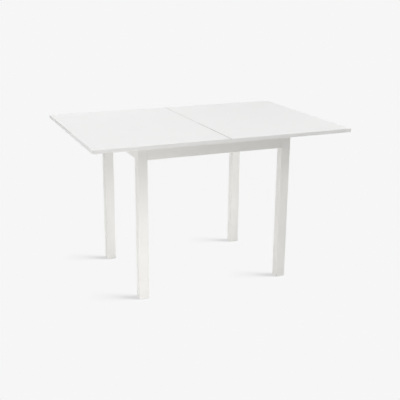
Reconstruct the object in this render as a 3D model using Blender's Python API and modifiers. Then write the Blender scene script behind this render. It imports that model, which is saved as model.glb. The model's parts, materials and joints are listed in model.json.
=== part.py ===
"""Swivel and fold-over extending dining table, shown open. Metres, +Z up, +X along the open top.

The top is two equal leaves. The left leaf turns on an off-centre pivot, and the right leaf folds over onto it
on three concealed hinges. Folded and turned by a quarter, the top covers the frame. The origin lies on the floor
under the middle of the open top.
"""

import math

import bmesh
import bpy
from mathutils import Vector

# Top
OPEN_LENGTH = 1.200
TOP_WIDTH = 0.800
TOP_HEIGHT = 0.730
LEAF_THICKNESS = 0.016
LEAF_EDGE_RADIUS = 0.0015
SEAM_GAP = 0.0010
FOLDED_GAP = 0.0008

# Frame: the folded and turned top stands over it by these two overhangs
END_OVERHANG = 0.033
SIDE_OVERHANG = 0.023
FRAME_OFFSET = -0.008
LEG_SIZE_X = 0.044
LEG_SIZE_Y = 0.040
LEG_EDGE_RADIUS = 0.002
RAIL_HEIGHT = 0.074
RAIL_THICKNESS = 0.018
RAIL_EDGE_RADIUS = 0.001
LONG_RAIL_SET_BACK = 0.001
SHORT_RAIL_SET_BACK = 0.005
FELT_THICKNESS = 0.002
FELT_WIDTH = 0.012
FELT_END_MARGIN = 0.010

# Feet
FOOT_HEIGHT = 0.002
FOOT_CHAMFER = 0.4 * FOOT_HEIGHT
FOOT_RADIUS = 0.017
FOOT_STEM_RADIUS = 0.004
FOOT_STEM_LENGTH = 0.016

# Corner fittings
PLATE_THICKNESS = 0.002
PLATE_HEIGHT = 0.052
PLATE_REACH = 0.080
PLATE_FLANGE = 0.022
PLATE_HOOK = 0.007
HANGER_RADIUS = 0.004
HANGER_LENGTH = 0.058
HANGER_BEYOND_NUT = 0.006
NUT_ACROSS_FLATS = 0.013
NUT_HEIGHT = 0.008
NUT_FLANGE_RADIUS = 0.009
NUT_FLANGE_HEIGHT = 0.002

# Swivel
PIVOT_PLATE_SIDE = 0.090
PIVOT_PLATE_THICKNESS = 0.004
PIVOT_BOLT_RADIUS = 0.006
PIVOT_HEAD_RADIUS = 0.0105
SLIP_RING_RADIUS = 0.035
SLIP_RING_THICKNESS = 0.002
BUSH_RADIUS = 0.010
PIVOT_BOARD_WIDTH = 0.120
PIVOT_BOARD_THICKNESS = 0.018
CLEAT_SIDE = 0.020
PIVOT_WASHER_RADIUS = 0.018
PIVOT_WASHER_THICKNESS = 0.003
SPRING_WASHER_RADIUS = 0.014
SPRING_WASHER_HEIGHT = 0.003
SPRING_WASHER_DISH = 0.0012
LOCK_NUT_ACROSS_FLATS = 0.019
LOCK_NUT_HEIGHT = 0.012
PIVOT_BOLT_BEYOND_NUT = 0.004
PLATE_SCREW_RADIUS = 0.0022
PLATE_SCREW_HEAD_RADIUS = 0.0044
PLATE_SCREW_BITE = 0.011
PLATE_SCREW_MARGIN = 0.013
PEG_RADIUS = 0.008
PEG_LENGTH = 0.028
PEG_STEM_RADIUS = 0.003
PEG_STEM_LENGTH = 0.010

# Concealed hinges: one unit is an eighteenth of the leaf's thickness
HINGE_UNIT = LEAF_THICKNESS / 18.0
HINGE_END_INSET = 0.100
HINGE_BODY_HEIGHT = 14.0 * HINGE_UNIT
HINGE_BODY_LENGTH = 44.0 * HINGE_UNIT
HINGE_BODY_DEPTH = 13.5 * HINGE_UNIT
LINK_PIVOT_INSET = 4.6 * HINGE_UNIT
LINK_PIVOT_DROP = 7.2 * HINGE_UNIT
LINK_BULGE = 2.2 * HINGE_UNIT
LINK_BAR = 2.2 * HINGE_UNIT
LINK_CORNER = 2.0 * HINGE_UNIT
LINK_EYE_RADIUS = 2.2 * HINGE_UNIT
LINK_THICKNESS = 2.5 * HINGE_UNIT
LINK_PIN_RADIUS = 1.3 * HINGE_UNIT
LINK_PIN_LENGTH = 3.4 * HINGE_UNIT
LINK_SLOT_DEPTH = 11.4 * HINGE_UNIT
LINK_SLOT_TOP = 3.3 * HINGE_UNIT
LINK_SLOT_BOTTOM = 15.7 * HINGE_UNIT

# Clearances
SEAT_GAP = 0.0003
LANE_GAP = 0.0003
BORE_GAP = 0.0003
CUT_MARGIN = 0.002
ROUND_STEPS = 24
SMALL_ROUND_STEPS = 16

# Heights that follow from the sizes above
LEAF_UNDERSIDE = TOP_HEIGHT - LEAF_THICKNESS
FELT_TOP = LEAF_UNDERSIDE - SEAT_GAP
RAIL_TOP = FELT_TOP - FELT_THICKNESS - SEAT_GAP
RAIL_BOTTOM = RAIL_TOP - RAIL_HEIGHT
LEG_BOTTOM = FOOT_HEIGHT + SEAT_GAP
PIVOT_PLATE_TOP = LEAF_UNDERSIDE - SEAT_GAP
PIVOT_PLATE_BOTTOM = PIVOT_PLATE_TOP - PIVOT_PLATE_THICKNESS
SLIP_RING_TOP = PIVOT_PLATE_BOTTOM - SEAT_GAP
SLIP_RING_BOTTOM = SLIP_RING_TOP - SLIP_RING_THICKNESS
PIVOT_BOARD_TOP = SLIP_RING_BOTTOM - SEAT_GAP
PIVOT_BOARD_BOTTOM = PIVOT_BOARD_TOP - PIVOT_BOARD_THICKNESS
CLEAT_TOP = PIVOT_BOARD_BOTTOM - SEAT_GAP
PIVOT_WASHER_TOP = PIVOT_BOARD_BOTTOM - SEAT_GAP
PIVOT_WASHER_BOTTOM = PIVOT_WASHER_TOP - PIVOT_WASHER_THICKNESS
SPRING_WASHER_TOP = PIVOT_WASHER_BOTTOM - SEAT_GAP
SPRING_WASHER_BOTTOM = SPRING_WASHER_TOP - SPRING_WASHER_HEIGHT
LOCK_NUT_TOP = SPRING_WASHER_BOTTOM - SEAT_GAP
LOCK_NUT_BOTTOM = LOCK_NUT_TOP - LOCK_NUT_HEIGHT
PIVOT_BOLT_END = LOCK_NUT_BOTTOM - PIVOT_BOLT_BEYOND_NUT
PLATE_MID_Z = RAIL_BOTTOM + RAIL_HEIGHT / 2

# Plan positions that follow from the sizes above
HALF_LENGTH = OPEN_LENGTH / 2
HALF_WIDTH = TOP_WIDTH / 2
HALF_SEAM = SEAM_GAP / 2
FRAME_LENGTH = TOP_WIDTH - 2 * END_OVERHANG
FRAME_WIDTH = OPEN_LENGTH / 2 - 2 * SIDE_OVERHANG
LEG_INNER_X = FRAME_LENGTH / 2 - LEG_SIZE_X
LEG_INNER_Y = FRAME_WIDTH / 2 - LEG_SIZE_Y
SHORT_RAIL_OUTER = FRAME_LENGTH / 2 - SHORT_RAIL_SET_BACK
SHORT_RAIL_INNER = SHORT_RAIL_OUTER - RAIL_THICKNESS
LONG_RAIL_OUTER = FRAME_WIDTH / 2 - LONG_RAIL_SET_BACK
LONG_RAIL_INNER = LONG_RAIL_OUTER - RAIL_THICKNESS
PIVOT_X = FRAME_OFFSET / 2 - OPEN_LENGTH / 8
PIVOT_Y = FRAME_OFFSET / 2 + OPEN_LENGTH / 8
PEG_STAND_OFF = PEG_RADIUS + SEAT_GAP
PEG_X = PIVOT_X + (LONG_RAIL_INNER - PIVOT_Y) - PEG_STAND_OFF
PEG_Y = -LONG_RAIL_INNER + PEG_STAND_OFF
FOLD_AXIS_Z = TOP_HEIGHT + FOLDED_GAP / 2
HINGE_MID_Z = TOP_HEIGHT - LEAF_THICKNESS / 2
HINGE_REACH = HALF_WIDTH - HINGE_END_INSET
HINGE_ROWS = (-HINGE_REACH, 0.0, HINGE_REACH)
PIVOT_ORIGIN = Vector((PIVOT_X, PIVOT_Y, LEAF_UNDERSIDE))
FOLD_ORIGIN = Vector((0.0, 0.0, FOLD_AXIS_Z))
CORNERS = (
    ("front_left", -1, -1),
    ("front_right", 1, -1),
    ("rear_left", -1, 1),
    ("rear_right", 1, 1),
)

for leftover in list(bpy.data.objects):
    bpy.data.objects.remove(leftover)

PARTS = bpy.data.collections.new("extending_dining_table")
CUTTERS = bpy.data.collections.new("cutters")
bpy.context.scene.collection.children.link(PARTS)
bpy.context.scene.collection.children.link(CUTTERS)


def finish(name, colour, roughness, metallic=0.0):
    """A Principled material of one plain colour."""
    material = bpy.data.materials.new(name)
    material.use_nodes = True
    shader = material.node_tree.nodes["Principled BSDF"]
    shader.inputs["Base Color"].default_value = (*colour, 1.0)
    shader.inputs["Roughness"].default_value = roughness
    shader.inputs["Metallic"].default_value = metallic
    material.diffuse_color = (*colour, 1.0)
    return material


BOARD_WHITE = finish("white_melamine_board", (0.86, 0.86, 0.85), 0.38)
LACQUER_WHITE = finish("white_lacquered_wood", (0.86, 0.853, 0.835), 0.34)
PLAIN_WOOD = finish("plain_softwood", (0.66, 0.50, 0.33), 0.62)
ZINC_STEEL = finish("zinc_plated_steel", (0.66, 0.67, 0.68), 0.34, 1.0)
DARK_STEEL = finish("spring_steel", (0.25, 0.25, 0.26), 0.42, 1.0)
ZINC_ALLOY = finish("satin_zinc_alloy", (0.58, 0.58, 0.57), 0.40, 1.0)
NYLON = finish("white_nylon", (0.82, 0.82, 0.79), 0.45)
GREY_PLASTIC = finish("grey_plastic", (0.20, 0.20, 0.20), 0.50)
FELT = finish("grey_felt", (0.44, 0.44, 0.43), 0.95)


def solid(name, mesh_data, material, origin=(0.0, 0.0, 0.0)):
    """Turns a bmesh in world coordinates into a named piece whose origin is the point given."""
    bmesh.ops.recalc_face_normals(mesh_data, faces=mesh_data.faces)
    bmesh.ops.translate(mesh_data, verts=mesh_data.verts, vec=-Vector(origin))
    mesh = bpy.data.meshes.new(name)
    mesh_data.to_mesh(mesh)
    mesh_data.free()
    piece = bpy.data.objects.new(name, mesh)
    piece.location = origin
    mesh.materials.append(material)
    PARTS.objects.link(piece)
    return piece


def helper(name, mesh_data):
    """A hidden shape that a Boolean uses."""
    bmesh.ops.recalc_face_normals(mesh_data, faces=mesh_data.faces)
    mesh = bpy.data.meshes.new(name)
    mesh_data.to_mesh(mesh)
    mesh_data.free()
    shape = bpy.data.objects.new(name, mesh)
    shape.hide_render = True
    shape.display_type = "WIRE"
    CUTTERS.objects.link(shape)
    return shape


def combine(piece, shape, operation):
    """Adds an exact Boolean to a piece."""
    boolean = piece.modifiers.new(shape.name, "BOOLEAN")
    boolean.operation = operation
    boolean.solver = "EXACT"
    boolean.object = shape


def cut(piece, name, mesh_data):
    combine(piece, helper(name, mesh_data), "DIFFERENCE")


def join(piece, name, mesh_data):
    combine(piece, helper(name, mesh_data), "UNION")


def round_edges(piece, width, segments=3):
    """Rounds every sharp edge that the piece has before its Booleans."""
    bevel = piece.modifiers.new("round_edges", "BEVEL")
    bevel.width = width
    bevel.segments = segments
    bevel.limit_method = "ANGLE"
    bevel.angle_limit = math.radians(40)


def prism(outline, low, high, axis="Z"):
    """A flat outline drawn out along an axis. The outline is (x, y) for Z, (x, z) for Y and (y, z) for X."""
    data = bmesh.new()

    def point(pair, level):
        if axis == "Z":
            return (pair[0], pair[1], level)
        if axis == "Y":
            return (pair[0], level, pair[1])
        return (level, pair[0], pair[1])

    first = [data.verts.new(point(pair, low)) for pair in outline]
    last = [data.verts.new(point(pair, high)) for pair in outline]
    data.faces.new(first)
    data.faces.new(last)
    for index in range(len(outline)):
        after = (index + 1) % len(outline)
        data.faces.new((first[index], first[after], last[after], last[index]))
    return data


def block(low, high):
    """A box between two corners."""
    outline = [(low[0], low[1]), (high[0], low[1]), (high[0], high[1]), (low[0], high[1])]
    return prism(outline, low[2], high[2])


def arc(centre, radius, start, end, steps):
    """Points along an arc, angles in degrees."""
    points = []
    for index in range(steps + 1):
        angle = math.radians(start + (end - start) * index / steps)
        points.append((centre[0] + radius * math.cos(angle), centre[1] + radius * math.sin(angle)))
    return points


def rounded_rectangle(low, high, radius, steps=4):
    """A rectangle's outline with its corners rounded."""
    centres = (
        ((high[0] - radius, high[1] - radius), 0),
        ((low[0] + radius, high[1] - radius), 90),
        ((low[0] + radius, low[1] + radius), 180),
        ((high[0] - radius, low[1] + radius), 270),
    )
    outline = []
    for centre, start in centres:
        outline += arc(centre, radius, start, start + 90, steps)
    return outline


def hexagon_stretch(angle):
    """How much further out a hexagon reaches at this angle than across half its flats."""
    return 1.0 / math.cos((angle % (math.pi / 3)) - math.pi / 6)


def turned(profile, base, direction=(0, 0, 1), steps=ROUND_STEPS):
    """A profile of (radius, height) or (radius, height, "hex") points turned about an axis through base.

    A profile that starts and ends at radius 0 makes a solid. Any other is closed into a ring.
    """
    data = bmesh.new()
    turn = Vector((0, 0, 1)).rotation_difference(Vector(direction).normalized()).to_matrix()
    base = Vector(base)
    rows = []
    for entry in profile:
        radius, height = entry[0], entry[1]
        if radius == 0:
            rows.append([data.verts.new(base + turn @ Vector((0, 0, height)))])
            continue
        row = []
        for index in range(steps):
            angle = 2 * math.pi * index / steps
            reach = radius * (hexagon_stretch(angle) if len(entry) == 3 else 1.0)
            spot = Vector((reach * math.cos(angle), reach * math.sin(angle), height))
            row.append(data.verts.new(base + turn @ spot))
        rows.append(row)
    pairs = list(zip(rows[:-1], rows[1:]))
    if profile[0][0] != 0:
        pairs.append((rows[-1], rows[0]))
    for lower, upper in pairs:
        for index in range(steps):
            after = (index + 1) % steps
            if len(lower) == 1:
                data.faces.new((lower[0], upper[index], upper[after]))
            elif len(upper) == 1:
                data.faces.new((lower[index], upper[0], lower[after]))
            else:
                data.faces.new((lower[index], lower[after], upper[after], upper[index]))
    return data


def rod(radius, length, base, direction=(0, 0, 1), steps=ROUND_STEPS):
    """A plain round bar that starts at base."""
    return turned(((0, 0), (radius, 0), (radius, length), (0, length)), base, direction, steps)


# Legs, with a bore for the foot's stem and a diagonal bore for the hanger bolt
def corner_point(sign_x, sign_y, inward_x, inward_y, height):
    """A point measured inwards from where the inner faces of two rails would meet."""
    x = FRAME_OFFSET + sign_x * (SHORT_RAIL_INNER - inward_x)
    y = sign_y * (LONG_RAIL_INNER - inward_y)
    return Vector((x, y, height))


PLATE_WEB_START = PLATE_REACH - PLATE_FLANGE
PLATE_WEB_MIDDLE = (PLATE_WEB_START + SEAT_GAP) / 2
PLATE_WEB_INNER = PLATE_WEB_MIDDLE + PLATE_THICKNESS / math.sqrt(2)
NUT_START = PLATE_WEB_INNER + SEAT_GAP / math.sqrt(2)
HANGER_END = NUT_START + (NUT_HEIGHT + HANGER_BEYOND_NUT) / math.sqrt(2)
HANGER_START = HANGER_END - HANGER_LENGTH / math.sqrt(2)

for corner, sign_x, sign_y in CORNERS:
    x_pair = sorted(FRAME_OFFSET + sign_x * reach for reach in (LEG_INNER_X, FRAME_LENGTH / 2))
    y_pair = sorted((sign_y * LEG_INNER_Y, sign_y * FRAME_WIDTH / 2))
    outline = rounded_rectangle((x_pair[0], y_pair[0]), (x_pair[1], y_pair[1]), LEG_EDGE_RADIUS)
    leg = solid("leg_" + corner, prism(outline, LEG_BOTTOM, RAIL_TOP), LACQUER_WHITE)
    leg_middle = Vector((sum(x_pair) / 2, sum(y_pair) / 2, 0.0))
    stem_bore = rod(
        FOOT_STEM_RADIUS + BORE_GAP,
        FOOT_STEM_LENGTH + BORE_GAP + CUT_MARGIN,
        leg_middle + Vector((0, 0, LEG_BOTTOM - CUT_MARGIN)),
        steps=SMALL_ROUND_STEPS,
    )
    cut(leg, "foot_bore_" + corner, stem_bore)
    inward = Vector((-sign_x, -sign_y, 0)).normalized()
    hanger_base = corner_point(sign_x, sign_y, HANGER_START, HANGER_START, PLATE_MID_Z)
    hanger_bore = rod(
        HANGER_RADIUS + BORE_GAP,
        HANGER_LENGTH,
        hanger_base - inward * BORE_GAP,
        inward,
        SMALL_ROUND_STEPS,
    )
    cut(leg, "hanger_bore_" + corner, hanger_bore)

    foot_profile = (
        (0, 0),
        (FOOT_RADIUS - FOOT_CHAMFER, 0),
        (FOOT_RADIUS, FOOT_CHAMFER),
        (FOOT_RADIUS, FOOT_HEIGHT),
        (FOOT_STEM_RADIUS, FOOT_HEIGHT),
        (FOOT_STEM_RADIUS, FOOT_HEIGHT + FOOT_STEM_LENGTH),
        (0, FOOT_HEIGHT + FOOT_STEM_LENGTH),
    )
    solid("foot_" + corner, turned(foot_profile, leg_middle), NYLON)

    hanger_profile = (
        (0, 0),
        (HANGER_RADIUS * 0.5, 0),
        (HANGER_RADIUS, HANGER_RADIUS),
        (HANGER_RADIUS, HANGER_LENGTH - 0.001),
        (HANGER_RADIUS - 0.001, HANGER_LENGTH),
        (0, HANGER_LENGTH),
    )
    solid(
        "hanger_bolt_" + corner,
        turned(hanger_profile, hanger_base, inward, SMALL_ROUND_STEPS),
        ZINC_STEEL,
    )

    nut_base = corner_point(sign_x, sign_y, NUT_START, NUT_START, PLATE_MID_Z)
    nut_hole = HANGER_RADIUS + BORE_GAP
    nut_profile = (
        (nut_hole, 0),
        (NUT_FLANGE_RADIUS, 0),
        (NUT_FLANGE_RADIUS, NUT_FLANGE_HEIGHT),
        (NUT_ACROSS_FLATS / 2, NUT_FLANGE_HEIGHT, "hex"),
        (NUT_ACROSS_FLATS / 2, NUT_HEIGHT, "hex"),
        (nut_hole, NUT_HEIGHT),
    )
    solid("flange_nut_" + corner, turned(nut_profile, nut_base, inward), ZINC_STEEL)

    inner = SEAT_GAP + PLATE_THICKNESS
    bend = PLATE_WEB_START + PLATE_THICKNESS * (math.sqrt(2) - 1)
    plan = (
        (PLATE_REACH - PLATE_THICKNESS, -PLATE_HOOK),
        (PLATE_REACH, -PLATE_HOOK),
        (PLATE_REACH, inner),
        (bend, inner),
        (inner, bend),
        (inner, PLATE_REACH),
        (-PLATE_HOOK, PLATE_REACH),
        (-PLATE_HOOK, PLATE_REACH - PLATE_THICKNESS),
        (SEAT_GAP, PLATE_REACH - PLATE_THICKNESS),
        (SEAT_GAP, PLATE_WEB_START),
        (PLATE_WEB_START, SEAT_GAP),
        (PLATE_REACH - PLATE_THICKNESS, SEAT_GAP),
    )
    plan = [corner_point(sign_x, sign_y, *pair, 0).xy for pair in plan]
    plate = solid(
        "corner_plate_" + corner,
        prism(plan, PLATE_MID_Z - PLATE_HEIGHT / 2, PLATE_MID_Z + PLATE_HEIGHT / 2),
        ZINC_STEEL,
    )
    plate_hole = rod(
        HANGER_RADIUS + BORE_GAP,
        0.020,
        corner_point(sign_x, sign_y, PLATE_WEB_MIDDLE, PLATE_WEB_MIDDLE, PLATE_MID_Z) - inward * 0.010,
        inward,
        SMALL_ROUND_STEPS,
    )
    cut(plate, "plate_hole_" + corner, plate_hole)

# Rails, each with two saw kerfs that the corner plates hook into
KERF_NEAR = PLATE_REACH - PLATE_THICKNESS - BORE_GAP
KERF_FAR = PLATE_REACH + BORE_GAP
KERF_DEPTH = PLATE_HOOK + BORE_GAP


def rail(name, low, high):
    return round_and_keep(solid(name, block(low, high), LACQUER_WHITE))


def round_and_keep(piece):
    round_edges(piece, RAIL_EDGE_RADIUS, 2)
    return piece


def felt(name, low, high):
    solid(name, block(low, high), FELT)


long_half = LEG_INNER_X - SEAT_GAP
short_half = LEG_INNER_Y - SEAT_GAP
felt_low = RAIL_TOP + SEAT_GAP
for side, sign in (("front", -1), ("rear", 1)):
    y_pair = sorted((sign * LONG_RAIL_INNER, sign * LONG_RAIL_OUTER))
    piece = rail(
        "rail_" + side,
        (FRAME_OFFSET - long_half, y_pair[0], RAIL_BOTTOM),
        (FRAME_OFFSET + long_half, y_pair[1], RAIL_TOP),
    )
    for end, end_sign in (("left", -1), ("right", 1)):
        x_kerf = sorted(
            FRAME_OFFSET + end_sign * (SHORT_RAIL_INNER - reach) for reach in (KERF_NEAR, KERF_FAR)
        )
        y_kerf = sorted(sign * (LONG_RAIL_INNER + depth) for depth in (-CUT_MARGIN, KERF_DEPTH))
        kerf = block(
            (x_kerf[0], y_kerf[0], RAIL_BOTTOM - CUT_MARGIN),
            (x_kerf[1], y_kerf[1], RAIL_TOP + CUT_MARGIN),
        )
        cut(piece, "kerf_" + side + "_" + end, kerf)
    middle = sum(y_pair) / 2
    felt(
        "felt_" + side,
        (FRAME_OFFSET - long_half + FELT_END_MARGIN, middle - FELT_WIDTH / 2, felt_low),
        (FRAME_OFFSET + long_half - FELT_END_MARGIN, middle + FELT_WIDTH / 2, FELT_TOP),
    )

for side, sign in (("left", -1), ("right", 1)):
    x_pair = sorted(FRAME_OFFSET + sign * reach for reach in (SHORT_RAIL_INNER, SHORT_RAIL_OUTER))
    piece = rail(
        "rail_" + side,
        (x_pair[0], -short_half, RAIL_BOTTOM),
        (x_pair[1], short_half, RAIL_TOP),
    )
    for end, end_sign in (("front", -1), ("rear", 1)):
        y_kerf = sorted(end_sign * (LONG_RAIL_INNER - reach) for reach in (KERF_NEAR, KERF_FAR))
        x_kerf = sorted(
            FRAME_OFFSET + sign * (SHORT_RAIL_INNER + depth) for depth in (-CUT_MARGIN, KERF_DEPTH)
        )
        kerf = block(
            (x_kerf[0], y_kerf[0], RAIL_BOTTOM - CUT_MARGIN),
            (x_kerf[1], y_kerf[1], RAIL_TOP + CUT_MARGIN),
        )
        cut(piece, "kerf_" + side + "_" + end, kerf)
    middle = sum(x_pair) / 2
    felt(
        "felt_" + side,
        (middle - FELT_WIDTH / 2, -short_half + FELT_END_MARGIN, felt_low),
        (middle + FELT_WIDTH / 2, short_half - FELT_END_MARGIN, FELT_TOP),
    )

# Board that carries the swivel, and the cleats under its ends
board_low_x = PIVOT_X - PIVOT_BOARD_WIDTH / 2
board_high_x = PIVOT_X + PIVOT_BOARD_WIDTH / 2
board_half = LONG_RAIL_INNER - SEAT_GAP
pivot_board = solid(
    "pivot_board",
    block((board_low_x, -board_half, PIVOT_BOARD_BOTTOM), (board_high_x, board_half, PIVOT_BOARD_TOP)),
    BOARD_WHITE,
)
bush_bore = rod(
    BUSH_RADIUS + BORE_GAP,
    PIVOT_BOARD_THICKNESS + 2 * CUT_MARGIN,
    (PIVOT_X, PIVOT_Y, PIVOT_BOARD_BOTTOM - CUT_MARGIN),
)
cut(pivot_board, "bush_bore", bush_bore)
for side, sign in (("front", -1), ("rear", 1)):
    y_pair = sorted((sign * board_half, sign * (board_half - CLEAT_SIDE)))
    cleat = solid(
        "cleat_" + side,
        block((board_low_x, y_pair[0], CLEAT_TOP - CLEAT_SIDE), (board_high_x, y_pair[1], CLEAT_TOP)),
        PLAIN_WOOD,
    )
    round_edges(cleat, RAIL_EDGE_RADIUS, 2)

# Swivel parts that stay with the frame
PIVOT_BORE = PIVOT_BOLT_RADIUS + BORE_GAP
pivot_spot = Vector((PIVOT_X, PIVOT_Y, 0.0))
ring_profile = (
    (PIVOT_BORE, SLIP_RING_BOTTOM),
    (SLIP_RING_RADIUS, SLIP_RING_BOTTOM),
    (SLIP_RING_RADIUS, SLIP_RING_TOP),
    (PIVOT_BORE, SLIP_RING_TOP),
)
solid("slip_ring", turned(ring_profile, pivot_spot), NYLON)
bush_profile = (
    (PIVOT_BORE, PIVOT_BOARD_BOTTOM),
    (BUSH_RADIUS, PIVOT_BOARD_BOTTOM),
    (BUSH_RADIUS, PIVOT_BOARD_TOP),
    (PIVOT_BORE, PIVOT_BOARD_TOP),
)
solid("pivot_bush", turned(bush_profile, pivot_spot), NYLON)

# Swivel parts that turn with the top
half_plate = PIVOT_PLATE_SIDE / 2
pivot_plate = solid(
    "pivot_plate",
    prism(
        rounded_rectangle(
            (PIVOT_X - half_plate, PIVOT_Y - half_plate),
            (PIVOT_X + half_plate, PIVOT_Y + half_plate),
            0.006,
        ),
        PIVOT_PLATE_BOTTOM,
        PIVOT_PLATE_TOP,
    ),
    ZINC_STEEL,
    PIVOT_ORIGIN,
)
head_sink = PIVOT_PLATE_THICKNESS * 0.7
bolt_profile = (
    (0, PIVOT_BOLT_END),
    (PIVOT_BOLT_RADIUS - 0.001, PIVOT_BOLT_END),
    (PIVOT_BOLT_RADIUS, PIVOT_BOLT_END + 0.001),
    (PIVOT_BOLT_RADIUS, PIVOT_PLATE_TOP - head_sink),
    (PIVOT_HEAD_RADIUS, PIVOT_PLATE_TOP - SEAT_GAP),
    (0, PIVOT_PLATE_TOP - SEAT_GAP),
)
solid("pivot_bolt", turned(bolt_profile, pivot_spot), ZINC_STEEL, PIVOT_ORIGIN)
head_rise = head_sink - SEAT_GAP
head_slope = (PIVOT_HEAD_RADIUS - PIVOT_BOLT_RADIUS) / head_rise
sink_profile = (
    (0, PIVOT_PLATE_BOTTOM - CUT_MARGIN),
    (PIVOT_BORE, PIVOT_PLATE_BOTTOM - CUT_MARGIN),
    (PIVOT_BORE, PIVOT_PLATE_TOP - head_sink - BORE_GAP),
    (PIVOT_HEAD_RADIUS + BORE_GAP + head_slope * SEAT_GAP, PIVOT_PLATE_TOP),
    (PIVOT_HEAD_RADIUS + BORE_GAP + head_slope * SEAT_GAP, PIVOT_PLATE_TOP + CUT_MARGIN),
    (0, PIVOT_PLATE_TOP + CUT_MARGIN),
)
cut(pivot_plate, "pivot_bolt_hole", turned(sink_profile, pivot_spot))

washer_profile = (
    (PIVOT_BORE, PIVOT_WASHER_BOTTOM),
    (PIVOT_WASHER_RADIUS, PIVOT_WASHER_BOTTOM),
    (PIVOT_WASHER_RADIUS, PIVOT_WASHER_TOP),
    (PIVOT_BORE, PIVOT_WASHER_TOP),
)
solid("pivot_washer", turned(washer_profile, pivot_spot), ZINC_STEEL, PIVOT_ORIGIN)
spring_profile = (
    (PIVOT_BORE, SPRING_WASHER_BOTTOM),
    (SPRING_WASHER_RADIUS, SPRING_WASHER_BOTTOM + SPRING_WASHER_DISH),
    (SPRING_WASHER_RADIUS, SPRING_WASHER_TOP),
    (PIVOT_BORE, SPRING_WASHER_TOP - SPRING_WASHER_DISH),
)
solid("spring_washer", turned(spring_profile, pivot_spot), DARK_STEEL, PIVOT_ORIGIN)
insert_height = LOCK_NUT_HEIGHT * 0.25
insert_radius = LOCK_NUT_ACROSS_FLATS * 0.42
lock_profile = (
    (PIVOT_BORE, LOCK_NUT_BOTTOM),
    (insert_radius, LOCK_NUT_BOTTOM),
    (insert_radius, LOCK_NUT_BOTTOM + insert_height),
    (LOCK_NUT_ACROSS_FLATS / 2, LOCK_NUT_BOTTOM + insert_height, "hex"),
    (LOCK_NUT_ACROSS_FLATS / 2, LOCK_NUT_TOP, "hex"),
    (PIVOT_BORE, LOCK_NUT_TOP),
)
solid("lock_nut", turned(lock_profile, pivot_spot), ZINC_STEEL, PIVOT_ORIGIN)

# Leaves
fixed_leaf = solid(
    "leaf_swivel",
    block((-HALF_LENGTH, -HALF_WIDTH, LEAF_UNDERSIDE), (-HALF_SEAM, HALF_WIDTH, TOP_HEIGHT)),
    BOARD_WHITE,
    PIVOT_ORIGIN,
)
folding_leaf = solid(
    "leaf_folding",
    block((HALF_SEAM, -HALF_WIDTH, LEAF_UNDERSIDE), (HALF_LENGTH, HALF_WIDTH, TOP_HEIGHT)),
    BOARD_WHITE,
    FOLD_ORIGIN,
)
round_edges(fixed_leaf, LEAF_EDGE_RADIUS)
round_edges(folding_leaf, LEAF_EDGE_RADIUS)

# Screws that hold the pivot plate to its leaf
screw_offset = half_plate - PLATE_SCREW_MARGIN
screw_head_depth = PLATE_SCREW_HEAD_RADIUS - PLATE_SCREW_RADIUS
screw_length = PIVOT_PLATE_THICKNESS + PLATE_SCREW_BITE
screw_number = 0
for offset_x in (-screw_offset, screw_offset):
    for offset_y in (-screw_offset, screw_offset):
        screw_number += 1
        spot = Vector((PIVOT_X + offset_x, PIVOT_Y + offset_y, PIVOT_PLATE_BOTTOM))
        screw_profile = (
            (0, SEAT_GAP),
            (PLATE_SCREW_HEAD_RADIUS, SEAT_GAP),
            (PLATE_SCREW_RADIUS, SEAT_GAP + screw_head_depth),
            (PLATE_SCREW_RADIUS, screw_length - PLATE_SCREW_RADIUS * 1.5),
            (0, screw_length),
        )
        solid(
            f"plate_screw_{screw_number}",
            turned(screw_profile, spot, steps=SMALL_ROUND_STEPS),
            ZINC_STEEL,
            PIVOT_ORIGIN,
        )
        wide = PLATE_SCREW_HEAD_RADIUS + BORE_GAP
        narrow = PLATE_SCREW_RADIUS + BORE_GAP
        hole_profile = (
            (0, -CUT_MARGIN),
            (wide + SEAT_GAP, -CUT_MARGIN),
            (wide + SEAT_GAP, SEAT_GAP),
            (narrow, SEAT_GAP + screw_head_depth + BORE_GAP),
            (narrow, screw_length + BORE_GAP),
            (0, screw_length + BORE_GAP),
        )
        cut(pivot_plate, f"plate_screw_hole_{screw_number}", turned(hole_profile, spot, steps=SMALL_ROUND_STEPS))
        leaf_bore = rod(
            narrow,
            PLATE_SCREW_BITE + BORE_GAP + CUT_MARGIN,
            (spot.x, spot.y, PIVOT_PLATE_TOP - CUT_MARGIN),
            steps=SMALL_ROUND_STEPS,
        )
        cut(fixed_leaf, f"leaf_screw_bore_{screw_number}", leaf_bore)

# Stop peg under the swivel leaf: it meets the front rail when open and the rear rail when closed
peg_spot = Vector((PEG_X, PEG_Y, 0.0))
peg_top = LEAF_UNDERSIDE - SEAT_GAP
peg_profile = (
    (0, peg_top - PEG_LENGTH),
    (PEG_RADIUS - 0.002, peg_top - PEG_LENGTH),
    (PEG_RADIUS, peg_top - PEG_LENGTH + 0.002),
    (PEG_RADIUS, peg_top),
    (PEG_STEM_RADIUS, peg_top),
    (PEG_STEM_RADIUS, peg_top + PEG_STEM_LENGTH),
    (0, peg_top + PEG_STEM_LENGTH),
)
solid("stop_peg", turned(peg_profile, peg_spot), GREY_PLASTIC, PIVOT_ORIGIN)
peg_bore = rod(
    PEG_STEM_RADIUS + BORE_GAP,
    PEG_STEM_LENGTH + BORE_GAP + CUT_MARGIN,
    peg_spot + Vector((0, 0, peg_top - CUT_MARGIN)),
    steps=SMALL_ROUND_STEPS,
)
cut(fixed_leaf, "peg_bore", peg_bore)


# Concealed hinges: side is -1 for the swivel leaf and 1 for the folding leaf
def stadium(middle_y, middle_z, length, height, steps=10):
    """A bar's outline with half-round ends, in y and z."""
    radius = height / 2
    reach = length / 2 - radius
    right = arc((middle_y + reach, middle_z), radius, -90, 90, steps)
    left = arc((middle_y - reach, middle_z), radius, 90, 270, steps)
    return right + left


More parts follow.
